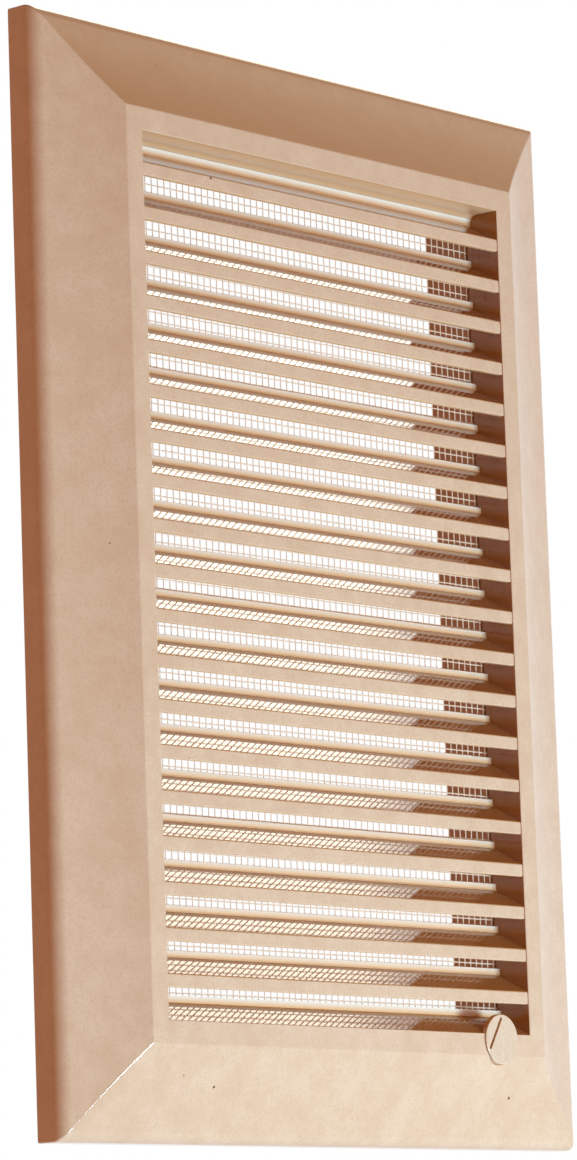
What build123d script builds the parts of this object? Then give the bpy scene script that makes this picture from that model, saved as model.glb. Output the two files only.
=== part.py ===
# Louvred wall vent: a glossy moulded front with fixed slats, an insect net behind them,
# a rear frame with a collar that is screwed to the wall, and a quarter-turn lock.
#
# Frame: the wall plane is Y = 0, the front faces -Y, +Z is up, and the origin is at the centre
# of the wall plane. Depths are measured back from the front plane of the border.

import os
from math import cos, radians, sin, sqrt, tan

from build123d import *

os.makedirs("parts", exist_ok=True)

# Outer size of the front
frame_width = 170.0
frame_height = 240.0
corner_radius = 0.6
shell = 2.0

# Raised frame: hollow bevel from the flat border out to the rounded rim
bevel_width = 20.2
bevel_start_angle = 28.0
bevel_end_angle = 16.0
rim_radius = 3.5
border_width = 5.0

# Sleeve behind the border, and the louvre slats across it
sleeve_depth = 9.2
sleeve_wall = 2.0
slat_spacing = 9.6
slat_front = 2.8
slat_setback = 0.3
slat_nose = 1.4
slat_angle = 29.5
slat_web = 1.4
lip_height = 1.5
lip_thickness = 1.1
slat_root = 0.6
ceiling_cove = 2.0

# Insect net: one thin wall with a grid of gaps
net_thickness = 0.55
net_margin = 1.7
net_cell = 14.0
net_ridge = 1.3

# Rear frame that is screwed to the wall
flange_thickness = 2.0
flange_gap = 0.4
flange_corner_radius = 1.5
collar_wall = 2.0
collar_reach = 6.8
collar_lead_in = 0.8
screw_hole_diameter = 4.5
screw_pad_diameter = 10.0
screw_pad_height = 1.0
window_margin = 4.4

# Quarter-turn lock at the lower right corner of the opening
button_diameter = 11.2
button_thickness = 1.2
button_proud = 0.4
button_edge_radius = 0.25
button_seat_gap = 0.15
button_from_side = 10.5
button_below_opening = 1.3
grip_slot_length = 8.4
grip_slot_width = 0.7
grip_slot_depth = 0.6
grip_slot_offset = 2.55
grip_slot_angle = 58.5
stem_diameter = 3.2
stem_clearance = 0.05
stem_square = 2.2
boss_diameter = 6.6
cam_thickness = 1.5
cam_hub_diameter = 5.6
cam_width = 3.2
cam_length = 9.0
cam_room = 1.1

# Hanging tabs at the top, and the catches of the rear frame
running_gap = 0.3
catch_wall = 1.8
catch_bite = 3.0
tab_width = 10.0
tab_from_middle = 35.0

# Sizes that follow from those above
frame_depth = sleeve_depth + net_thickness + running_gap + cam_thickness + cam_room + flange_thickness
opening_width = frame_width - 2 * (bevel_width + border_width)
opening_height = frame_height - 2 * (bevel_width + border_width)
opening_top = opening_height / 2
slat_steps = round((opening_height + slat_front) / slat_spacing)
slat_pitch = (opening_height + slat_front) / slat_steps
lip_front = sleeve_depth - lip_thickness
slat_rise = (lip_front - slat_setback) * tan(radians(slat_angle))
sleeve_top = opening_top + sleeve_wall
net_back = sleeve_depth + net_thickness
flange_front = frame_depth - flange_thickness
collar_top = opening_top + collar_wall
button_x = opening_width / 2 - button_from_side
button_z = -opening_top - button_below_opening
button_seat = button_thickness - button_proud
cam_front = net_back + running_gap
cam_back = cam_front + cam_thickness


# Y of a depth behind the front plane
def y_at(depth):
    return depth - frame_depth


# Upright plane at a depth, facing the front, with X to the right and Z up
def plane_at(depth):
    return Plane.XZ.offset(frame_depth - depth)


# Section across the frame: border, hollow bevel, rounded rim and side wall, on both sides
def frame_section(plane, span, back):
    half = span / 2
    edge = half - bevel_width
    bevel_run = bevel_width - rim_radius * (1 - sin(radians(bevel_end_angle)))
    bevel_drop = bevel_run * tan(radians((bevel_start_angle + bevel_end_angle) / 2))
    rim_drop = bevel_drop + rim_radius * cos(radians(bevel_end_angle))
    start_way = (cos(radians(bevel_start_angle)), sin(radians(bevel_start_angle)))
    end_way = (cos(radians(bevel_end_angle)), sin(radians(bevel_end_angle)))
    with BuildSketch(plane) as section:
        with BuildLine():
            Line((0, y_at(0)), (edge, y_at(0)))
            TangentArc((edge, y_at(0)), (edge + bevel_run, y_at(bevel_drop)), tangent=start_way)
            TangentArc((edge + bevel_run, y_at(bevel_drop)), (half, y_at(rim_drop)), tangent=end_way)
            Line((half, y_at(rim_drop)), (half, back))
            Line((half, back), (0, back))
            mirror(about=Plane.YZ)
        make_face()
    return section.sketch


# Closed outline in the plane across the slats, from points given as depth and height
def side_outline(x, points):
    with BuildSketch(Plane.YZ.offset(x)) as outline:
        with BuildLine():
            Polyline(*[(y_at(depth), height) for depth, height in points], close=True)
        make_face()
    return outline.sketch


# Section of one slat whose front strip stands on the height foot
def slat_points(foot):
    shoulder = foot + slat_front + slat_rise
    return [
        (slat_setback, foot),
        (slat_setback, foot + slat_front),
        (lip_front, shoulder),
        (lip_front, shoulder + lip_height),
        (sleeve_depth, shoulder + lip_height),
        (sleeve_depth, shoulder - slat_web),
        (slat_setback + slat_nose, foot),
    ]


# Planes of the two bars whose common body is the mitred frame
bar_along_x = Plane(origin=(frame_width / 2, 0, 0), x_dir=(0, 0, 1), z_dir=(-1, 0, 0))
bar_along_z = Plane.XY.offset(-frame_height / 2)

# Hollow inside the frame, one shell thickness within its outer surface
hollow_back = shell + 1
hollow_sections = []
for bar_plane, bar_span in ((bar_along_x, frame_height), (bar_along_z, frame_width)):
    with BuildSketch() as inner_section:
        add(bar_plane.to_local_coords(frame_section(bar_plane, bar_span, hollow_back)))
        offset(amount=-shell)
    hollow_sections.append(bar_plane * inner_section.sketch)

with BuildPart() as hollow:
    extrude(hollow_sections[0], amount=frame_width)
    extrude(hollow_sections[1], amount=frame_height, mode=Mode.INTERSECT)

# Front grille: the mitred frame, hollow behind, with its sleeve, slats and lock boss
long_section = frame_section(bar_along_x, frame_height, 0)
cross_section = frame_section(bar_along_z, frame_width, 0)
slat_start = -opening_width / 2 - slat_root
slat_length = opening_width + 2 * slat_root

with BuildPart() as front_grille:
    extrude(long_section, amount=frame_width)
    extrude(cross_section, amount=frame_height, mode=Mode.INTERSECT)
    with BuildSketch(plane_at(frame_depth)):
        RectangleRounded(frame_width, frame_height, corner_radius)
    extrude(amount=frame_depth, mode=Mode.INTERSECT)
    add(hollow.part, mode=Mode.SUBTRACT)
    with BuildSketch(plane_at(sleeve_depth)):
        Rectangle(opening_width + 2 * sleeve_wall, opening_height + 2 * sleeve_wall)
    extrude(amount=sleeve_depth - shell / 2)
    with BuildSketch(plane_at(sleeve_depth)):
        Rectangle(opening_width, opening_height)
    extrude(amount=sleeve_depth, mode=Mode.SUBTRACT)

    # Slats, and the floor of the last gap, which has the same section
    for step in range(1, slat_steps + 1):
        extrude(side_outline(slat_start, slat_points(opening_top - step * slat_pitch)), amount=slat_length)

    # Cove that closes the first gap between the ceiling and the top slat's lip
    with BuildSketch(Plane.YZ.offset(slat_start)):
        with BuildLine():
            Polyline(
                (y_at(lip_front - ceiling_cove), opening_top),
                (y_at(lip_front - ceiling_cove), opening_top + slat_root),
                (y_at(sleeve_depth), opening_top + slat_root),
                (y_at(sleeve_depth), opening_top - ceiling_cove),
                (y_at(lip_front), opening_top - ceiling_cove),
            )
            RadiusArc(
                (y_at(lip_front), opening_top - ceiling_cove),
                (y_at(lip_front - ceiling_cove), opening_top),
                ceiling_cove,
            )
        make_face()
    extrude(amount=slat_length)

    # Boss and bore of the lock, behind the border, and the shallow seat of its button
    with BuildSketch(plane_at(sleeve_depth)):
        with Locations((button_x, button_z)):
            Circle(boss_diameter / 2)
    extrude(amount=sleeve_depth - shell / 2)
    with BuildSketch(plane_at(sleeve_depth)):
        with Locations((button_x, button_z)):
            Circle(stem_diameter / 2 + stem_clearance)
    extrude(amount=sleeve_depth, mode=Mode.SUBTRACT)
    with BuildSketch(plane_at(button_seat)):
        with Locations((button_x, button_z)):
            Circle(button_diameter / 2 + button_seat_gap)
    extrude(amount=button_seat, mode=Mode.SUBTRACT)

    # Hanging tabs on top of the sleeve, with a toe that goes behind the catches
    tab_under = sleeve_top + running_gap
    tab_over = tab_under + catch_wall
    toe_front = net_back + running_gap
    toe_top = tab_over + catch_bite + 2 * running_gap
    tab_points = [
        (sleeve_depth / 2, sleeve_top - sleeve_wall / 2),
        (sleeve_depth / 2, tab_over),
        (toe_front, tab_over),
        (toe_front, toe_top),
        (toe_front + catch_wall, toe_top),
        (toe_front + catch_wall, tab_under),
        (sleeve_depth, tab_under),
        (sleeve_depth, sleeve_top - sleeve_wall / 2),
    ]
    for side in (-1, 1):
        extrude(side_outline(side * tab_from_middle - tab_width / 2, tab_points), amount=tab_width)
front_grille.part.label = "front_grille"
export_step(front_grille.part, "parts/front_grille.step")

# Insect net: a thin wall against the rear of the sleeve, ending on the lip of the floor
net_width = opening_width + 2 * net_margin
net_top = opening_top + net_margin
net_bottom = -opening_top + slat_rise
net_columns = round(opening_width / net_cell)
net_rows = round((opening_top - net_bottom) / net_cell)
gap_pitch_x = opening_width / net_columns
gap_pitch_z = (opening_top - net_bottom - lip_height) / net_rows
gap_middle = (opening_top + net_bottom + lip_height) / 2

with BuildPart() as insect_mesh:
    with BuildSketch(plane_at(net_back)):
        with Locations((0, (net_top + net_bottom) / 2)):
            Rectangle(net_width, net_top - net_bottom)
        with Locations((0, gap_middle)):
            with GridLocations(gap_pitch_x, gap_pitch_z, net_columns, net_rows):
                Rectangle(gap_pitch_x - net_ridge, gap_pitch_z - net_ridge, mode=Mode.SUBTRACT)
    extrude(amount=net_thickness)
insect_mesh.part.label = "insect_mesh"
export_step(insect_mesh.part, "parts/insect_mesh.step")

# Wall frame: flange in the hollow of the front, collar into the wall, catches and screw holes
flange_width = frame_width - 2 * (shell + flange_gap)
flange_height = frame_height - 2 * (shell + flange_gap)
collar_width = opening_width + 2 * collar_wall
screw_spacing_x = (flange_width + collar_width) / 2
screw_spacing_z = (flange_height + 2 * collar_top) / 2
collar_back = frame_depth + collar_reach
nose_front = net_back - catch_wall
catch_under = tab_over + 2 * running_gap
catch_post = toe_top + running_gap
catch_points = [
    (nose_front, catch_under),
    (nose_front, catch_post + catch_wall),
    (flange_front, catch_post + catch_wall),
    (flange_front, catch_post),
    (net_back, catch_post),
    (net_back, catch_under),
]
cam_tip = sqrt(cam_length**2 + (cam_width / 2) ** 2)
lock_post = button_z - cam_tip - 2 * running_gap
lock_points = [
    (nose_front, lock_post + catch_bite),
    (nose_front, lock_post - catch_wall),
    (flange_front, lock_post - catch_wall),
    (flange_front, lock_post),
    (net_back, lock_post),
    (net_back, lock_post + catch_bite),
]
notch_left = button_x - cam_tip - 2 * running_gap
notch_right = button_x + cam_hub_diameter / 2 + 2 * running_gap
window_breadth = (flange_width - collar_width) / 2 - 2 * window_margin
window_inset = screw_pad_diameter / 2 + window_margin
side_window_height = screw_spacing_z - 2 * window_inset
top_window_width = 2 * (tab_from_middle - tab_width / 2 - window_margin)
low_window_left = -screw_spacing_x / 2 + window_inset
low_window_right = notch_left - window_margin

with BuildPart() as wall_frame:
    with BuildSketch(plane_at(frame_depth)):
        RectangleRounded(flange_width, flange_height, flange_corner_radius)
    extrude(amount=flange_thickness)
    with BuildSketch(plane_at(flange_front)):
        with GridLocations(screw_spacing_x, screw_spacing_z, 2, 2):
            Circle(screw_pad_diameter / 2)
    extrude(amount=screw_pad_height)
    with BuildSketch(plane_at(collar_back)):
        Rectangle(collar_width, 2 * collar_top)
    extrude(amount=collar_back - net_back)
    rear_edges = wall_frame.edges().group_by(Axis.Y)[-1]
    chamfer(rear_edges, length=collar_lead_in)
    with BuildSketch(plane_at(collar_back)):
        Rectangle(opening_width, opening_height)
    extrude(amount=collar_back - net_back, mode=Mode.SUBTRACT)
    with BuildSketch(plane_at(frame_depth)):
        with GridLocations(screw_spacing_x, screw_spacing_z, 2, 2):
            Circle(screw_hole_diameter / 2)
    extrude(amount=flange_thickness + screw_pad_height, mode=Mode.SUBTRACT)

    # Windows in the flange, which open the hollow of the front to the back
    with BuildSketch(plane_at(frame_depth)):
        with Locations((-screw_spacing_x / 2, 0), (screw_spacing_x / 2, 0)):
            Rectangle(window_breadth, side_window_height)
        with Locations((0, screw_spacing_z / 2)):
            Rectangle(top_window_width, window_breadth)
        with Locations(((low_window_left + low_window_right) / 2, -screw_spacing_z / 2)):
            Rectangle(low_window_right - low_window_left, window_breadth)
    extrude(amount=flange_thickness, mode=Mode.SUBTRACT)

    # Catches for the two hanging tabs, and the one that the lock cam goes behind
    for side in (-1, 1):
        extrude(side_outline(side * tab_from_middle - tab_width / 2, catch_points), amount=tab_width)
    extrude(side_outline(button_x - tab_width / 2, lock_points), amount=tab_width)

    # Notch in the collar where the cam swings
    with BuildSketch(plane_at(flange_front)):
        with Locations(((notch_left + notch_right) / 2, -(opening_top + collar_top) / 2)):
            Rectangle(notch_right - notch_left, collar_wall)
    extrude(amount=flange_front - net_back, mode=Mode.SUBTRACT)
wall_frame.part.label = "wall_frame"
export_step(wall_frame.part, "parts/wall_frame.step")

# Lock button: a flat round head with a grip slot to one side, on a stem with a square end
slot_x = button_x - grip_slot_offset * sin(radians(grip_slot_angle))
slot_z = button_z + grip_slot_offset * cos(radians(grip_slot_angle))
stem_end = cam_back + running_gap

with BuildPart() as lock_button:
    with BuildSketch(plane_at(button_seat)):
        with Locations((button_x, button_z)):
            Circle(button_diameter / 2)
    extrude(amount=button_thickness)
    fillet(lock_button.faces().sort_by(Axis.Y)[0].edges(), radius=button_edge_radius)
    with BuildSketch(plane_at(-button_proud)):
        with Locations((slot_x, slot_z)):
            SlotOverall(grip_slot_length, grip_slot_width, rotation=grip_slot_angle)
    extrude(amount=-grip_slot_depth, mode=Mode.SUBTRACT)
    with BuildSketch(plane_at(cam_front)):
        with Locations((button_x, button_z)):
            Circle(stem_diameter / 2)
    extrude(amount=cam_front - button_seat)
    with BuildSketch(plane_at(stem_end)):
        with Locations((button_x, button_z)):
            Rectangle(stem_square, stem_square)
    extrude(amount=stem_end - cam_front)
lock_button.part.label = "lock_button"
export_step(lock_button.part, "parts/lock_button.step")

# Lock cam: hub and flag, pressed on the square end of the stem, pointing down when locked
with BuildPart() as lock_cam:
    with BuildSketch(plane_at(cam_back)):
        with Locations((button_x, button_z)):
            Circle(cam_hub_diameter / 2)
        with Locations((button_x, button_z - cam_length / 2)):
            Rectangle(cam_width, cam_length)
        with Locations((button_x, button_z)):
            Rectangle(stem_square, stem_square, mode=Mode.SUBTRACT)
    extrude(amount=cam_thickness)
lock_cam.part.label = "lock_cam"
export_step(lock_cam.part, "parts/lock_cam.step")
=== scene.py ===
# Louvred wall vent, dressed for the camera: a glossy beige front with fixed slats, a fine insect net,
# a rear frame that is screwed to the wall, and a slotted quarter-turn lock. Lengths are in metres.

from math import cos, pi, radians, sin

import bpy
from mathutils import Matrix, Vector


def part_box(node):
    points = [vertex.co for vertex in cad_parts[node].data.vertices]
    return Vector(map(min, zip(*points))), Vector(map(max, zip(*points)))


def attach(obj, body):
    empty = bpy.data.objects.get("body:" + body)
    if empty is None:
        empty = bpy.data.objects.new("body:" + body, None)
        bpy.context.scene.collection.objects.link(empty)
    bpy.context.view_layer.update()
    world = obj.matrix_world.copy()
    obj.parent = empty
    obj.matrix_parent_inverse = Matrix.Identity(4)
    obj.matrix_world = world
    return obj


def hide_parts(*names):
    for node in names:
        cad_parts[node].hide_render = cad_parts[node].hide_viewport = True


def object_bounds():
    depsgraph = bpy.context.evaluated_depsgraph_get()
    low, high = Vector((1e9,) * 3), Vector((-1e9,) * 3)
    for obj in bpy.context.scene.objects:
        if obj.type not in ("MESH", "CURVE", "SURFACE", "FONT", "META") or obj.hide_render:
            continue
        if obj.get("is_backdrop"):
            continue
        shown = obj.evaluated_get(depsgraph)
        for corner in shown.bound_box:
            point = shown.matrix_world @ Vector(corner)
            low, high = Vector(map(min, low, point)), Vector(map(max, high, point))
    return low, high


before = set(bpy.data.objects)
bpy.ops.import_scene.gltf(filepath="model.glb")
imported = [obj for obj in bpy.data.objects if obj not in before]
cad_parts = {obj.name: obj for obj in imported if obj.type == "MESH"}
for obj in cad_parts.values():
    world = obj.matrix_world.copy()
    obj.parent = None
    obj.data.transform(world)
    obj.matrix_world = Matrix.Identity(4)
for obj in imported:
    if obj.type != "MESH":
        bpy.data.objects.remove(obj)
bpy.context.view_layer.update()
mm = 0.001


# Frame of the front
# One injection moulding of beige plastic, the size of the whole vent. It starts as a flat sheet and is
# drawn up ring by ring: side wall, rounded rim, hollow bevel and flat border, then back into the sleeve.
frame_width = 170 * mm
frame_height = 240 * mm
frame_depth = 14.65 * mm
shell = 2 * mm
rim_radius = 3.5 * mm
rim_steps = 8
bevel_width = 20.2 * mm
bevel_inner_angle = radians(28)
bevel_outer_angle = radians(16)
bevel_steps = 10
border_width = 5 * mm
sleeve_depth = 9.2 * mm
corner_round = 0.6 * mm
corner_run_out = 1.5 * mm
mitre_round = 0.5
edge_round = 0.4
tolerance = 0.001 * mm
opening_half_width = frame_width / 2 - bevel_width - border_width
opening_top = frame_height / 2 - bevel_width - border_width


def only(piece):
    bpy.ops.object.select_all(action="DESELECT")
    piece.select_set(True)
    bpy.context.view_layer.objects.active = piece


def settle(piece):
    only(piece)
    bpy.ops.object.transform_apply(location=True, rotation=True, scale=True)


def finish_with(piece, kind, **settings):
    only(piece)
    modifier = piece.modifiers.new(kind.title(), kind)
    for setting, value in settings.items():
        setattr(modifier, setting, value)
    bpy.ops.object.modifier_apply(modifier=modifier.name)


def pick_faces(piece, wanted):
    only(piece)
    bpy.ops.object.mode_set(mode="EDIT")
    bpy.ops.mesh.select_mode(type="FACE")
    bpy.ops.mesh.select_all(action="DESELECT")
    bpy.ops.object.mode_set(mode="OBJECT")
    for face in piece.data.polygons:
        face.select = wanted(face.center, face.normal)
    bpy.ops.object.mode_set(mode="EDIT")


def pick_edges(piece, wanted):
    only(piece)
    bpy.ops.object.mode_set(mode="EDIT")
    bpy.ops.mesh.select_mode(type="EDGE")
    bpy.ops.mesh.select_all(action="DESELECT")
    bpy.ops.object.mode_set(mode="OBJECT")
    ends = piece.data.vertices
    for edge in piece.data.edges:
        edge.select = wanted(ends[edge.vertices[0]].co, ends[edge.vertices[1]].co)
    bpy.ops.object.mode_set(mode="EDIT")


bpy.ops.object.select_all(action="DESELECT")
bpy.ops.mesh.primitive_plane_add(size=1, rotation=(pi / 2, 0, 0))
front = bpy.context.active_object
front.name = "front_moulding"
front.scale = (frame_width, frame_height, 1)
settle(front)

# Rings of the frame, each given as its way inwards and its way forwards from the one before
bevel_curve = (bevel_width - rim_radius * (1 - sin(bevel_outer_angle))) / (
    sin(bevel_inner_angle) - sin(bevel_outer_angle)
)
bevel_drop = bevel_curve * (cos(bevel_outer_angle) - cos(bevel_inner_angle))
rim_drop = bevel_drop + rim_radius * cos(bevel_outer_angle)
rings = []
for step in range(rim_steps):
    low = (pi / 2 - bevel_outer_angle) * step / rim_steps
    high = (pi / 2 - bevel_outer_angle) * (step + 1) / rim_steps
    rings.append((rim_radius * (cos(low) - cos(high)), rim_radius * (sin(high) - sin(low))))
for step in range(bevel_steps):
    low = bevel_outer_angle + (bevel_inner_angle - bevel_outer_angle) * step / bevel_steps
    high = bevel_outer_angle + (bevel_inner_angle - bevel_outer_angle) * (step + 1) / bevel_steps
    rings.append((bevel_curve * (sin(high) - sin(low)), bevel_curve * (cos(low) - cos(high))))

bpy.ops.object.mode_set(mode="EDIT")
bpy.ops.mesh.select_mode(type="FACE")
bpy.ops.mesh.select_all(action="SELECT")
side_wall = frame_depth - rim_drop
bpy.ops.mesh.extrude_region_move(TRANSFORM_OT_translate={"value": (0, -side_wall, 0)})
for inwards, forwards in rings:
    bpy.ops.mesh.inset(thickness=inwards, depth=forwards)
bpy.ops.mesh.inset(thickness=border_width, depth=0)
bpy.ops.mesh.extrude_region_move(TRANSFORM_OT_translate={"value": (0, sleeve_depth, 0)})
bpy.ops.mesh.delete(type="FACE")
bpy.ops.object.mode_set(mode="OBJECT")

# The flat sheet at the wall goes, because the frame is open at the back
pick_faces(front, lambda centre, normal: abs(normal.y) > 0.9 and centre.y > -shell)
bpy.ops.mesh.delete(type="FACE")
bpy.ops.object.mode_set(mode="OBJECT")


# How round each edge is, as a share of the outer corner: the corners run out into crisp mitres
def way_in(point):
    return frame_width / 2 - abs(point.x)


roundness = front.data.attributes.new("bevel_weight_edge", "FLOAT", "EDGE")
corners = front.data.vertices
for edge in front.data.edges:
    start = corners[edge.vertices[0]].co
    end = corners[edge.vertices[1]].co
    across = (way_in(start) + way_in(end)) / 2
    level = abs(start.y - end.y) < tolerance
    along_ring = level and abs(way_in(start) - way_in(end)) < tolerance
    if along_ring and across > bevel_width - tolerance and start.y < -frame_depth + tolerance:
        roundness.data[edge.index].value = edge_round
    elif not along_ring and across < bevel_width:
        roundness.data[edge.index].value = max(mitre_round, 1 - across / corner_run_out)
finish_with(front, "SOLIDIFY", thickness=shell, offset=-1, use_even_offset=True)
finish_with(front, "BEVEL", width=corner_round, segments=3, limit_method="WEIGHT", use_clamp_overlap=False)


# Slats, cove, lock boss and hanging tabs of the front
# They are moulded in one with the frame: nineteen slats and the floor of the last gap with one section,
# a cove that closes the first gap, a tube round the lock's stem, and two tabs inside the hollow.
slat_count = 20
slat_front = 2.8 * mm
slat_setback = 0.3 * mm
slat_nose = 1.4 * mm
slat_rise = 4.413 * mm
slat_web = 1.4 * mm
slat_root = 0.6 * mm
slat_edge_round = 0.28 * mm
slat_edge_angle = radians(20)
lip_height = 1.5 * mm
lip_thickness = 1.1 * mm
lip_front = sleeve_depth - lip_thickness
slat_pitch = (2 * opening_top + slat_front) / slat_count
slat_end = opening_half_width + slat_root


# A bar along X whose section is given as depth and height, from an upright front strip round to its foot
def moulded_bar(name, left, right, section):
    foot_depth, foot = section[0]
    head = section[1][1]
    bpy.ops.object.select_all(action="DESELECT")
    bpy.ops.mesh.primitive_plane_add(
        size=1,
        rotation=(pi / 2, 0, 0),
        location=((left + right) / 2, foot_depth - frame_depth, (foot + head) / 2),
    )
    bar = bpy.context.active_object
    bar.name = name
    bar.scale = (right - left, head - foot, 1)
    settle(bar)
    middle = (foot + head) / 2
    pick_edges(bar, lambda start, end: start.z > middle and end.z > middle)
    for before, after in zip(section[1:], section[2:] + section[:1]):
        step = (0, after[0] - before[0], after[1] - before[1])
        bpy.ops.mesh.extrude_region_move(TRANSFORM_OT_translate={"value": step})
    bpy.ops.mesh.select_all(action="SELECT")
    bpy.ops.mesh.remove_doubles(threshold=tolerance)
    bpy.ops.mesh.fill_holes(sides=0)
    bpy.ops.mesh.normals_make_consistent(inside=False)
    bpy.ops.object.mode_set(mode="OBJECT")
    return bar


first_foot = opening_top - slat_pitch
shoulder = first_foot + slat_front + slat_rise
slat = moulded_bar(
    "slat",
    -slat_end,
    slat_end,
    [
        (slat_setback, first_foot),
        (slat_setback, first_foot + slat_front),
        (lip_front, shoulder),
        (lip_front, shoulder + lip_height),
        (sleeve_depth, shoulder + lip_height),
        (sleeve_depth, shoulder - slat_web),
        (slat_setback + slat_nose, first_foot),
    ],
)


def lowered_copy(bar, steps):
    only(bar)
    bpy.ops.object.duplicate()
    copy = bpy.context.active_object
    copy.location.z = -steps * slat_pitch
    settle(copy)
    return copy


# The floor of the last gap is copied before the edges are rounded, so its own stay sharp
bars = [lowered_copy(slat, slat_count - 1)]
finish_with(
    slat, "BEVEL", width=slat_edge_round, segments=3, limit_method="ANGLE", angle_limit=slat_edge_angle
)
bars.append(slat)
for step in range(1, slat_count - 1):
    bars.append(lowered_copy(slat, step))

# Flash line that the two mould halves leave on the side walls, from each lip up to the slat above it
flash_width = 0.16 * mm
flash_height = 0.1 * mm
lip_top = shoulder + lip_height - slat_pitch
for side in (-1, 1):
    near = side * (opening_half_width - flash_height)
    far = side * slat_end
    flash = moulded_bar(
        "flash_line",
        min(near, far),
        max(near, far),
        [
            (slat_setback + slat_nose, first_foot - flash_width),
            (slat_setback + slat_nose, first_foot),
            (sleeve_depth, lip_top + flash_width),
            (sleeve_depth, lip_top),
        ],
    )
    bars.append(flash)
    for step in range(1, slat_count - 1):
        bars.append(lowered_copy(flash, step))

cove_radius = 2 * mm
cove_steps = 8
cove_section = [
    (lip_front - cove_radius, opening_top),
    (lip_front - cove_radius, opening_top + slat_root),
    (sleeve_depth, opening_top + slat_root),
    (sleeve_depth, opening_top - cove_radius),
]
for step in range(cove_steps):
    turn = pi / 2 * step / cove_steps
    cove_section.append(
        (
            lip_front - cove_radius * (1 - cos(turn)),
            opening_top - cove_radius * (1 - sin(turn)),
        )
    )
bars.append(moulded_bar("cove", -slat_end, slat_end, cove_section))

tab_width = 10 * mm
tab_from_middle = 35 * mm
tab_front_depth = 4.6 * mm
tab_root = 1 * mm
tab_arm_top = 2.1 * mm
tab_arm_foot = 0.3 * mm
hook_front_depth = 10.05 * mm
hook_back_depth = 11.85 * mm
hook_top = 5.7 * mm
sleeve_top = opening_top + shell
for side in (-1, 1):
    bars.append(
        moulded_bar(
            "hanging_tab",
            side * tab_from_middle - tab_width / 2,
            side * tab_from_middle + tab_width / 2,
            [
                (tab_front_depth, sleeve_top - tab_root),
                (tab_front_depth, sleeve_top + tab_arm_top),
                (hook_front_depth, sleeve_top + tab_arm_top),
                (hook_front_depth, sleeve_top + hook_top),
                (hook_back_depth, sleeve_top + hook_top),
                (hook_back_depth, sleeve_top + tab_arm_foot),
                (sleeve_depth, sleeve_top + tab_arm_foot),
                (sleeve_depth, sleeve_top - tab_root),
            ],
        )
    )

lock_x = 49.3 * mm
lock_z = -96.1 * mm
boss_radius = 3.3 * mm
bore_radius = 1.65 * mm
button_radius = 5.6 * mm
button_seat = 0.8 * mm
button_seat_gap = 0.15 * mm
cutter_reach = 1 * mm


def round_bar(name, x, z, radius, start_depth, end_depth, sides):
    bpy.ops.object.select_all(action="DESELECT")
    bpy.ops.mesh.primitive_cylinder_add(
        vertices=sides,
        radius=radius,
        depth=end_depth - start_depth,
        rotation=(pi / 2, 0, 0),
        location=(x, (start_depth + end_depth) / 2 - frame_depth, z),
    )
    bar = bpy.context.active_object
    bar.name = name
    settle(bar)
    return bar


bars.append(round_bar("lock_boss", lock_x, lock_z, boss_radius, shell / 2, sleeve_depth, sides=48))


def gathered(pieces):
    bpy.ops.object.select_all(action="DESELECT")
    for piece in pieces:
        piece.select_set(True)
    bpy.context.view_layer.objects.active = pieces[0]
    bpy.ops.object.join()
    return pieces[0]


def cut_or_fuse(piece, tool, operation):
    finish_with(piece, "BOOLEAN", object=tool, operation=operation, solver="EXACT", use_self=True)
    bpy.data.objects.remove(tool)


cut_or_fuse(front, gathered(bars), "UNION")
bore_end = sleeve_depth + cutter_reach
bore = round_bar("lock_bore", lock_x, lock_z, bore_radius, -cutter_reach, bore_end, sides=32)
cut_or_fuse(front, bore, "DIFFERENCE")
seat_radius = button_radius + button_seat_gap
seat = round_bar("button_seat", lock_x, lock_z, seat_radius, -cutter_reach, button_seat, sides=96)
cut_or_fuse(front, seat, "DIFFERENCE")


# Smooth up to its creases, with the way that each face looks kept on the mesh for the plastic to read
crease_angle = radians(40)


def smooth_moulding(piece):
    only(piece)
    bpy.ops.object.shade_smooth_by_angle(angle=crease_angle)
    finish_with(piece, "WEIGHTED_NORMAL", keep_sharp=True)
    facing = piece.data.attributes.new("facing", "FLOAT_VECTOR", "CORNER")
    for kept, normal in zip(facing.data, piece.data.corner_normals):
        kept.vector = normal.vector


smooth_moulding(front)


# Plastic of the front: beige, with faint clouding, a fine grain, a few dark specks and a clear gloss.
# Faces that look up are browner: painted shade, for their dark tone. Faces that look up are browner: a
# tint chosen by eye for their dark tone, which may be shade or dust.
plastic_light = (0.75, 0.52, 0.365, 1)
plastic_deep = (0.69, 0.455, 0.305, 1)
upward_shade_colour = (0.5, 0.22, 0.02, 1)
grain_colour = (0.58, 0.38, 0.24, 1)
speck_colour = (0.12, 0.05, 0.02, 1)
front_gloss = 0.05
gloss_change = 0.3


def node_of(material, kind, **settings):
    node = material.node_tree.nodes.new(kind)
    for setting, value in settings.items():
        setattr(node, setting, value)
    return node


def split_apart(material, vector):
    split = node_of(material, "ShaderNodeSeparateXYZ")
    material.node_tree.links.new(vector, split.inputs["Vector"])
    return split.outputs


def place_on(material):
    return split_apart(material, node_of(material, "ShaderNodeTexCoord").outputs["Object"])


def facing_on(material):
    kept = node_of(material, "ShaderNodeAttribute", attribute_name="facing")
    return split_apart(material, kept.outputs["Vector"])


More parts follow.
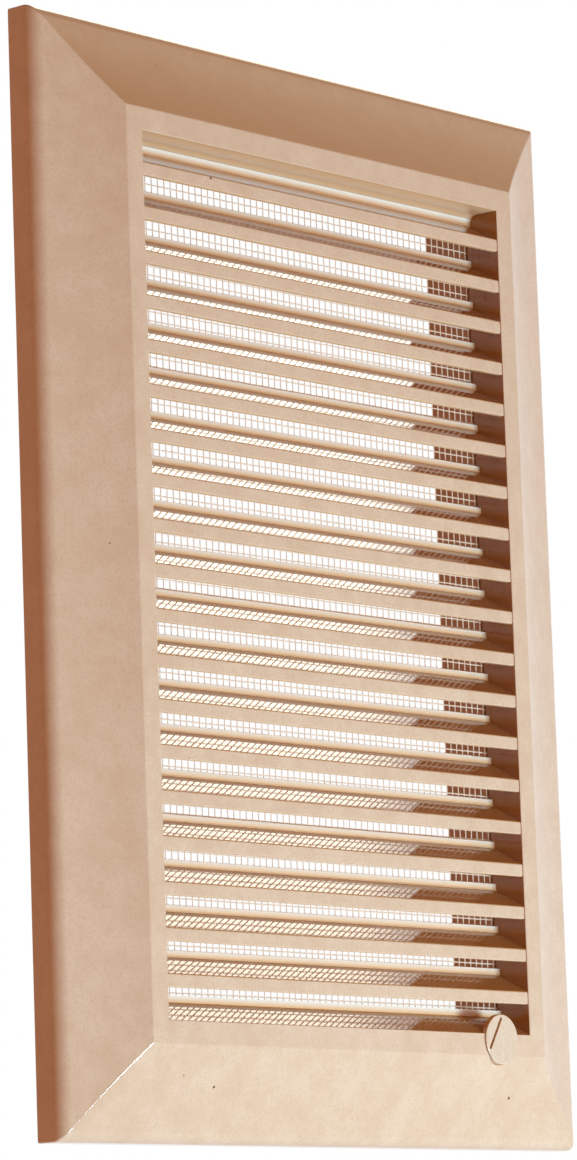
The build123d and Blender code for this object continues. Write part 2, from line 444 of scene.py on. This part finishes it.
def clouded_plastic(name, light, deep, gloss):
    material = bpy.data.materials.new(name)
    material.use_nodes = True
    join = material.node_tree.links.new
    shader = material.node_tree.nodes["Principled BSDF"]
    place = node_of(material, "ShaderNodeTexCoord").outputs["Object"]

    clouds = node_of(material, "ShaderNodeTexNoise")
    clouds.inputs["Scale"].default_value = 130
    clouds.inputs["Detail"].default_value = 9
    clouds.inputs["Roughness"].default_value = 0.7
    join(place, clouds.inputs["Vector"])
    cloud_mix = node_of(material, "ShaderNodeMapRange")
    cloud_mix.inputs["From Min"].default_value = 0.38
    cloud_mix.inputs["From Max"].default_value = 0.62
    join(clouds.outputs["Fac"], cloud_mix.inputs["Value"])
    tone = node_of(material, "ShaderNodeMix", data_type="RGBA")
    tone.inputs["A"].default_value = light
    tone.inputs["B"].default_value = deep
    join(cloud_mix.outputs["Result"], tone.inputs["Factor"])

    grain = node_of(material, "ShaderNodeTexNoise")
    grain.inputs["Scale"].default_value = 1700
    grain.inputs["Detail"].default_value = 3
    join(place, grain.inputs["Vector"])
    grain_mix = node_of(material, "ShaderNodeMapRange")
    grain_mix.inputs["From Min"].default_value = 0.48
    grain_mix.inputs["From Max"].default_value = 0.72
    grain_mix.inputs["To Max"].default_value = 0.45
    join(grain.outputs["Fac"], grain_mix.inputs["Value"])
    grained = node_of(material, "ShaderNodeMix", data_type="RGBA")
    grained.inputs["B"].default_value = grain_colour
    join(grain_mix.outputs["Result"], grained.inputs["Factor"])
    join(tone.outputs["Result"], grained.inputs["A"])

    specks = node_of(material, "ShaderNodeTexVoronoi")
    specks.inputs["Scale"].default_value = 150
    join(place, specks.inputs["Vector"])
    speck_patches = node_of(material, "ShaderNodeTexNoise")
    speck_patches.inputs["Scale"].default_value = 34
    join(place, speck_patches.inputs["Vector"])
    speck_size = node_of(material, "ShaderNodeMapRange")
    speck_size.inputs["From Min"].default_value = 0.44
    speck_size.inputs["From Max"].default_value = 0.72
    speck_size.inputs["To Max"].default_value = 0.05
    join(speck_patches.outputs["Fac"], speck_size.inputs["Value"])
    is_speck = node_of(material, "ShaderNodeMath", operation="LESS_THAN")
    join(specks.outputs["Distance"], is_speck.inputs[0])
    join(speck_size.outputs["Result"], is_speck.inputs[1])
    speckled = node_of(material, "ShaderNodeMix", data_type="RGBA")
    speckled.inputs["B"].default_value = speck_colour
    join(is_speck.outputs["Value"], speckled.inputs["Factor"])
    join(grained.outputs["Result"], speckled.inputs["A"])

    # Painted shade: faces that look up are mixed towards a brown tint
    looks_up = node_of(material, "ShaderNodeMapRange")
    looks_up.inputs["From Min"].default_value = 0.13
    looks_up.inputs["From Max"].default_value = 0.46
    looks_up.inputs["To Max"].default_value = 0.9
    join(facing_on(material)["Z"], looks_up.inputs["Value"])
    upward_shade_mix = node_of(material, "ShaderNodeMix", data_type="RGBA")
    upward_shade_mix.inputs["B"].default_value = upward_shade_colour
    join(looks_up.outputs["Result"], upward_shade_mix.inputs["Factor"])
    join(speckled.outputs["Result"], upward_shade_mix.inputs["A"])
    join(upward_shade_mix.outputs["Result"], shader.inputs["Base Color"])

    shine = node_of(material, "ShaderNodeMapRange")
    shine.inputs["To Min"].default_value = gloss * (1 - gloss_change)
    shine.inputs["To Max"].default_value = gloss * (1 + gloss_change)
    join(clouds.outputs["Fac"], shine.inputs["Value"])
    join(shine.outputs["Result"], shader.inputs["Roughness"])
    shader.inputs["IOR"].default_value = 1.45

    bump = node_of(material, "ShaderNodeBump")
    bump.inputs["Strength"].default_value = 0.05
    bump.inputs["Distance"].default_value = 0.1 * mm
    join(grain.outputs["Fac"], bump.inputs["Height"])
    join(bump.outputs["Normal"], shader.inputs["Normal"])
    return material


front_plastic = clouded_plastic("front_plastic", plastic_light, plastic_deep, front_gloss)

# Painted shade: dark brown on the slopes and side walls inside the opening, also chosen by eye: it may
# be shade or dirt
recess_shade_colour = (0.41, 0.18, 0.05, 1)
opening_margin = 0.3 * mm
faces_side_from = 0.9
faces_up_from = 0.75


# A sum on node outputs and plain numbers
def reckoned(material, operation, *values):
    node = node_of(material, "ShaderNodeMath", operation=operation)
    for socket, value in zip(node.inputs, values):
        if isinstance(value, float):
            socket.default_value = value
        else:
            material.node_tree.links.new(value, socket)
    return node.outputs["Value"]


# A tint over the colour so far, where the mask is 1. It gives the socket that takes the tint.
def laid_over(material, where):
    join = material.node_tree.links.new
    colour = material.node_tree.nodes["Principled BSDF"].inputs["Base Color"]
    layer = node_of(material, "ShaderNodeMix", data_type="RGBA")
    join(where, layer.inputs["Factor"])
    join(colour.links[0].from_socket, layer.inputs["A"])
    join(layer.outputs["Result"], colour)
    return layer.inputs["B"]


def inside_opening(material):
    spot = place_on(material)
    in_width = reckoned(material, "COMPARE", spot["X"], 0.0, opening_half_width + opening_margin)
    in_height = reckoned(material, "COMPARE", spot["Z"], 0.0, opening_top + opening_margin)
    return reckoned(material, "MULTIPLY", in_width, in_height)


# Painted shade: dark brown where faces inside the opening turn aside or look up
def paint_recess_shade(material):
    facing = facing_on(material)
    turned_aside = reckoned(material, "ABSOLUTE", facing["X"])
    faces_side = reckoned(material, "GREATER_THAN", turned_aside, faces_side_from)
    faces_up = reckoned(material, "GREATER_THAN", facing["Z"], faces_up_from)
    in_recess = reckoned(material, "MAXIMUM", faces_side, faces_up)
    where = reckoned(material, "MULTIPLY", inside_opening(material), in_recess)
    laid_over(material, where).default_value = recess_shade_colour


paint_recess_shade(front_plastic)

# Painted light: pale lips at the rear, palest at the top, for light coming through them, orange at the
# foot;
# and painted shade: a browner tone on the faces inside the opening that look down
lip_glow_top_colour = (0.99, 0.89, 0.79, 1)
lip_glow_foot_colour = (0.88, 0.47, 0.19, 1)
ceiling_shade_colour = (0.84, 0.53, 0.30, 1)
lip_margin = 0.4 * mm
faces_front_below = -0.6
faces_down_below = -0.7
front_spot = place_on(front_plastic)
front_facing = facing_on(front_plastic)
front_inside = inside_opening(front_plastic)
lip_start = lip_front - frame_depth - lip_margin
deep_in = reckoned(front_plastic, "GREATER_THAN", front_spot["Y"], lip_start)
faces_front = reckoned(front_plastic, "LESS_THAN", front_facing["Y"], faces_front_below)
faces_down = reckoned(front_plastic, "LESS_THAN", front_facing["Z"], faces_down_below)
deep_front = reckoned(front_plastic, "MULTIPLY", deep_in, faces_front)
lip_level = reckoned(front_plastic, "WRAP", front_spot["Z"], shoulder + slat_pitch, shoulder)
lip_share = node_of(front_plastic, "ShaderNodeMapRange")
lip_share.inputs["From Min"].default_value = shoulder
lip_share.inputs["From Max"].default_value = shoulder + lip_height
front_plastic.node_tree.links.new(lip_level, lip_share.inputs["Value"])
lip_glow_tint = node_of(front_plastic, "ShaderNodeMix", data_type="RGBA")
lip_glow_tint.inputs["A"].default_value = lip_glow_foot_colour
lip_glow_tint.inputs["B"].default_value = lip_glow_top_colour
front_plastic.node_tree.links.new(lip_share.outputs["Result"], lip_glow_tint.inputs["Factor"])
on_lip = reckoned(front_plastic, "MULTIPLY", front_inside, deep_front)
front_plastic.node_tree.links.new(lip_glow_tint.outputs["Result"], laid_over(front_plastic, on_lip))
on_ceiling = reckoned(front_plastic, "MULTIPLY", front_inside, faces_down)
laid_over(front_plastic, on_ceiling).default_value = ceiling_shade_colour

# Painted shade: dark brown in the gap round the button; and one dark mark on the lower bevel
mark_x = 56.4 * mm
mark_z = -108.85 * mm
mark_radius = 0.34 * mm
seat_shade_radius = seat_radius + 0.03 * mm


def around(x, z, radius):
    flat = node_of(front_plastic, "ShaderNodeCombineXYZ")
    front_plastic.node_tree.links.new(front_spot["X"], flat.inputs["X"])
    front_plastic.node_tree.links.new(front_spot["Z"], flat.inputs["Z"])
    away = node_of(front_plastic, "ShaderNodeVectorMath", operation="DISTANCE")
    away.inputs[1].default_value = (x, 0, z)
    front_plastic.node_tree.links.new(flat.outputs["Vector"], away.inputs[0])
    return reckoned(front_plastic, "LESS_THAN", away.outputs["Value"], radius)


in_seat = around(lock_x, lock_z, seat_shade_radius)
laid_over(front_plastic, in_seat).default_value = recess_shade_colour
laid_over(front_plastic, around(mark_x, mark_z, mark_radius)).default_value = speck_colour
front.data.materials.clear()
front.data.materials.append(front_plastic)
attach(front, "housing")
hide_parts("front_grille")


# Insect net
# A fine square net of pale nylon thread, cut a little wider than the opening and clamped flat between
# the rear of the sleeve and the collar of the wall frame. The threads stray a little from their lines.
net_low = Vector(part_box("insect_mesh")[0])
net_high = Vector(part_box("insect_mesh")[1])
thread = 0.3 * mm
threads_across = 61
threads_down = 93
stray = 0.05 * mm
nylon_light = (0.99, 0.82, 0.67, 1)
nylon_deep = (0.97, 0.74, 0.57, 1)

bpy.ops.object.select_all(action="DESELECT")
bpy.ops.mesh.primitive_grid_add(
    x_subdivisions=threads_across,
    y_subdivisions=threads_down,
    size=1,
    rotation=(pi / 2, 0, 0),
    location=(net_low + net_high) / 2,
)
net = bpy.context.active_object
net.name = "insect_net"
net.scale = (net_high.x - net_low.x - thread, net_high.z - net_low.z - thread, 1)
settle(net)
bpy.ops.object.mode_set(mode="EDIT")
bpy.ops.mesh.select_all(action="SELECT")
bpy.ops.transform.vertex_random(offset=stray, seed=4)
bpy.ops.object.mode_set(mode="OBJECT")
finish_with(net, "WIREFRAME", thickness=thread, use_even_offset=True, use_boundary=True)

nylon = bpy.data.materials.new("net_nylon")
nylon.use_nodes = True
nylon_shader = nylon.node_tree.nodes["Principled BSDF"]
nylon_place = node_of(nylon, "ShaderNodeTexCoord").outputs["Object"]
nylon_tone = node_of(nylon, "ShaderNodeTexNoise")
nylon_tone.inputs["Scale"].default_value = 420
nylon.node_tree.links.new(nylon_place, nylon_tone.inputs["Vector"])
nylon_mix = node_of(nylon, "ShaderNodeMix", data_type="RGBA")
nylon_mix.inputs["A"].default_value = nylon_light
nylon_mix.inputs["B"].default_value = nylon_deep
nylon.node_tree.links.new(nylon_tone.outputs["Fac"], nylon_mix.inputs["Factor"])
nylon.node_tree.links.new(nylon_mix.outputs["Result"], nylon_shader.inputs["Base Color"])
nylon_shader.inputs["Roughness"].default_value = 0.45
net.data.materials.append(nylon)
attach(net, "housing")
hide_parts("insect_mesh")


# Wall frame
# The rear moulding of the same beige plastic, screwed flat on the wall, with a collar that goes into
# the wall opening. Its solid is copied, its facets are merged, and its moulded edges are rounded.
wall_edge_round = 0.25 * mm
merge_angle = radians(1)
rear_light = (0.72, 0.51, 0.37, 1)
rear_deep = (0.66, 0.45, 0.32, 1)
rear_gloss = 0.3


def merged_copy(node, name):
    copy = bpy.data.objects.new(name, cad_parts[node].data.copy())
    bpy.context.collection.objects.link(copy)
    only(copy)
    bpy.ops.object.mode_set(mode="EDIT")
    bpy.ops.mesh.select_all(action="SELECT")
    bpy.ops.mesh.remove_doubles(threshold=tolerance)
    bpy.ops.mesh.dissolve_limited(angle_limit=merge_angle)
    bpy.ops.object.mode_set(mode="OBJECT")
    copy.data.materials.clear()
    return copy


wall_frame = merged_copy("wall_frame", "wall_frame_moulding")
finish_with(
    wall_frame, "BEVEL", width=wall_edge_round, segments=3, limit_method="ANGLE", angle_limit=crease_angle
)
smooth_moulding(wall_frame)
rear_plastic = clouded_plastic("rear_plastic", rear_light, rear_deep, rear_gloss)
# The same painted shade, on the walls inside the collar
paint_recess_shade(rear_plastic)
wall_frame.data.materials.append(rear_plastic)
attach(wall_frame, "housing")
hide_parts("wall_frame")


# Lock button
# A flat round head of the same plastic, with a grip slot to one side for a coin, on a stem that turns
# in the boss of the front. Head and stem are one moulding, with a rounded front edge.
button_proud = 0.4 * mm
button_edge = 0.25 * mm
grip_length = 8.4 * mm
grip_width = 0.7 * mm
grip_depth = 0.6 * mm
grip_end_round = grip_width / 2 * 0.98
grip_offset = 2.55 * mm
grip_angle = radians(58.5)
stem_radius = 1.6 * mm
stem_square = 2.2 * mm
cam_front_depth = 10.05 * mm
stem_end_depth = 11.85 * mm
square_overlap = 1 * mm
lock_light = (0.75, 0.55, 0.40, 1)
lock_deep = (0.72, 0.52, 0.37, 1)
lock_gloss = 0.12

button = round_bar("lock_button_head", lock_x, lock_z, button_radius, -button_proud, button_seat, sides=96)
button_face = -frame_depth - button_proud
button_front = button_face + tolerance
pick_edges(button, lambda start, end: start.y < button_front and end.y < button_front)
bpy.ops.mesh.bevel(offset=button_edge, segments=4, affect="EDGES")
bpy.ops.object.mode_set(mode="OBJECT")

bpy.ops.object.select_all(action="DESELECT")
bpy.ops.mesh.primitive_cube_add(size=1)
grip = bpy.context.active_object
grip.name = "grip_slot"
grip.scale = (grip_length, 2 * grip_depth, grip_width)
settle(grip)
pick_edges(grip, lambda start, end: abs(start.x - end.x) + abs(start.z - end.z) < tolerance)
bpy.ops.mesh.bevel(offset=grip_end_round, segments=5, affect="EDGES")
bpy.ops.object.mode_set(mode="OBJECT")
grip.rotation_euler.y = -grip_angle
grip.location = (
    lock_x - grip_offset * sin(grip_angle),
    button_face,
    lock_z + grip_offset * cos(grip_angle),
)
settle(grip)
cut_or_fuse(button, grip, "DIFFERENCE")

stem = round_bar("lock_stem", lock_x, lock_z, stem_radius, button_seat / 2, cam_front_depth, sides=32)
cut_or_fuse(button, stem, "UNION")
bpy.ops.object.select_all(action="DESELECT")
square_start_depth = cam_front_depth - square_overlap
square_middle = (square_start_depth + stem_end_depth) / 2 - frame_depth
bpy.ops.mesh.primitive_cube_add(size=1, location=(lock_x, square_middle, lock_z))
square_end = bpy.context.active_object
square_end.name = "stem_square_end"
square_end.scale = (stem_square, stem_end_depth - square_start_depth, stem_square)
settle(square_end)
cut_or_fuse(button, square_end, "UNION")
smooth_moulding(button)
lock_plastic = clouded_plastic("lock_plastic", lock_light, lock_deep, lock_gloss)
button.data.materials.clear()
button.data.materials.append(lock_plastic)
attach(button, "lock")
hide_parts("lock_button")


# Lock cam
# A flat flag of the same plastic, pressed on the square end of the stem inside the hollow, where it
# swings behind the catch of the wall frame. Its solid is copied and its edges are rounded.
cam_edge_round = 0.15 * mm

cam = merged_copy("lock_cam", "lock_cam_flag")
finish_with(cam, "BEVEL", width=cam_edge_round, segments=2, limit_method="ANGLE", angle_limit=crease_angle)
smooth_moulding(cam)
cam.data.materials.append(lock_plastic)
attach(cam, "lock")
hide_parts("lock_cam")


# Floor and surroundings
# A plain pale floor below the vent, which takes its shadow, and a surround that gives a soft warm light.
# To the camera, in gloss and through clear things, the surround is white and the floor nearly white.
floor_size = 8
floor_level = -0.8
floor_colour = (0.86, 0.84, 0.82, 1)
floor_white_share = 0.8
surround_colour = (0.40, 0.145, 0.012, 1)
surround_white = (1, 1, 1, 1)


# 1 for what the camera sees by itself, in gloss or through clear things, and 0 for other light
def seen_directly(material):
    rays = node_of(material, "ShaderNodeLightPath").outputs
    in_gloss = reckoned(material, "MAXIMUM", rays["Is Camera Ray"], rays["Is Glossy Ray"])
    return reckoned(material, "MAXIMUM", in_gloss, rays["Is Transmission Ray"])


bpy.ops.object.select_all(action="DESELECT")
bpy.ops.mesh.primitive_plane_add(size=floor_size, location=(0, 0, floor_level))
floor = bpy.context.active_object
floor.name = "floor"
floor_paint = bpy.data.materials.new("floor_paint")
floor_paint.use_nodes = True
floor_shader = floor_paint.node_tree.nodes["Principled BSDF"]
floor_shader.inputs["Base Color"].default_value = floor_colour
floor_shader.inputs["Roughness"].default_value = 0.7
floor_white = node_of(floor_paint, "ShaderNodeEmission")
seen_white = node_of(floor_paint, "ShaderNodeMapRange")
seen_white.inputs["To Max"].default_value = floor_white_share
floor_mix = node_of(floor_paint, "ShaderNodeMixShader")
join = floor_paint.node_tree.links.new
join(seen_directly(floor_paint), seen_white.inputs["Value"])
join(seen_white.outputs["Result"], floor_mix.inputs["Fac"])
join(floor_shader.outputs["BSDF"], floor_mix.inputs[1])
join(floor_white.outputs["Emission"], floor_mix.inputs[2])
join(floor_mix.outputs["Shader"], floor_paint.node_tree.nodes["Material Output"].inputs["Surface"])
floor.data.materials.append(floor_paint)
floor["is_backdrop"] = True

room = bpy.data.worlds.new("room")
bpy.context.scene.world = room
room.use_nodes = True
room.node_tree.nodes.clear()
soft_light = node_of(room, "ShaderNodeBackground")
soft_light.inputs["Color"].default_value = surround_colour
white_surround = node_of(room, "ShaderNodeBackground")
white_surround.inputs["Color"].default_value = surround_white
surround_mix = node_of(room, "ShaderNodeMixShader")
join = room.node_tree.links.new
join(seen_directly(room), surround_mix.inputs["Fac"])
join(soft_light.outputs["Background"], surround_mix.inputs[1])
join(white_surround.outputs["Background"], surround_mix.inputs[2])
join(surround_mix.outputs["Shader"], node_of(room, "ShaderNodeOutputWorld").inputs["Surface"])


# Lamps
# Two cool lamps in front, one a little below and one well below, which with the warm surround come to
# about neutral on the front, a warm panel high behind on the right, which the slats mirror, and a wide
# cool lamp for the rear.
def soft_lamp(name, place, width, height, power, colour):
    lamp = bpy.data.objects.new(name, bpy.data.lights.new(name, "AREA"))
    bpy.context.collection.objects.link(lamp)
    lamp.data.shape = "RECTANGLE"
    lamp.data.size = width
    lamp.data.size_y = height
    lamp.data.energy = power
    lamp.data.color = colour
    lamp.location = place
    lamp.rotation_euler = (-Vector(place)).to_track_quat("-Z", "Y").to_euler()


soft_lamp(
    "front_lamp", place=(0.11, -0.68, -0.28), width=0.2, height=0.2, power=5.2, colour=(0.54, 0.84, 1)
)
soft_lamp(
    "low_lamp", place=(0.16, -0.3, -0.53), width=0.24, height=0.24, power=1.6, colour=(0.48, 0.78, 1)
)
soft_lamp(
    "high_back_panel", place=(1.0, 0.456, 0.875), width=0.69, height=0.52, power=3.5, colour=(1, 0.94, 0.74)
)
soft_lamp(
    "rear_lamp", place=(0.37, 1.1, -0.25), width=0.6, height=0.6, power=5, colour=(0.55, 0.84, 1)
)


# Camera
# It looks up a little from below and well from the left, from over a metre away.
image_height = 1160
focal_pixels = 5235.3
camera_distance = 1.134
camera_turn = radians(-48.911)
camera_tilt = radians(8.692)
camera_roll = radians(1.969)
film_height = 36
looks_at = Vector((-17.49 * mm, -frame_depth, 1.53 * mm))
turn = (
    Matrix.Rotation(camera_turn, 3, "Z")
    @ Matrix.Rotation(camera_tilt, 3, "X")
    @ Matrix.Rotation(camera_roll, 3, "Y")
)
camera = bpy.data.objects.new("camera", bpy.data.cameras.new("camera"))
bpy.context.collection.objects.link(camera)
camera.data.sensor_width = film_height
camera.data.lens = focal_pixels / image_height * film_height
camera.location = looks_at - turn.col[1] * camera_distance
camera.rotation_euler = (turn @ Matrix.Rotation(pi / 2, 3, "X")).to_euler()
bpy.context.scene.camera = camera
bpy.context.scene.view_settings.view_transform = "Standard"

low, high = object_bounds()
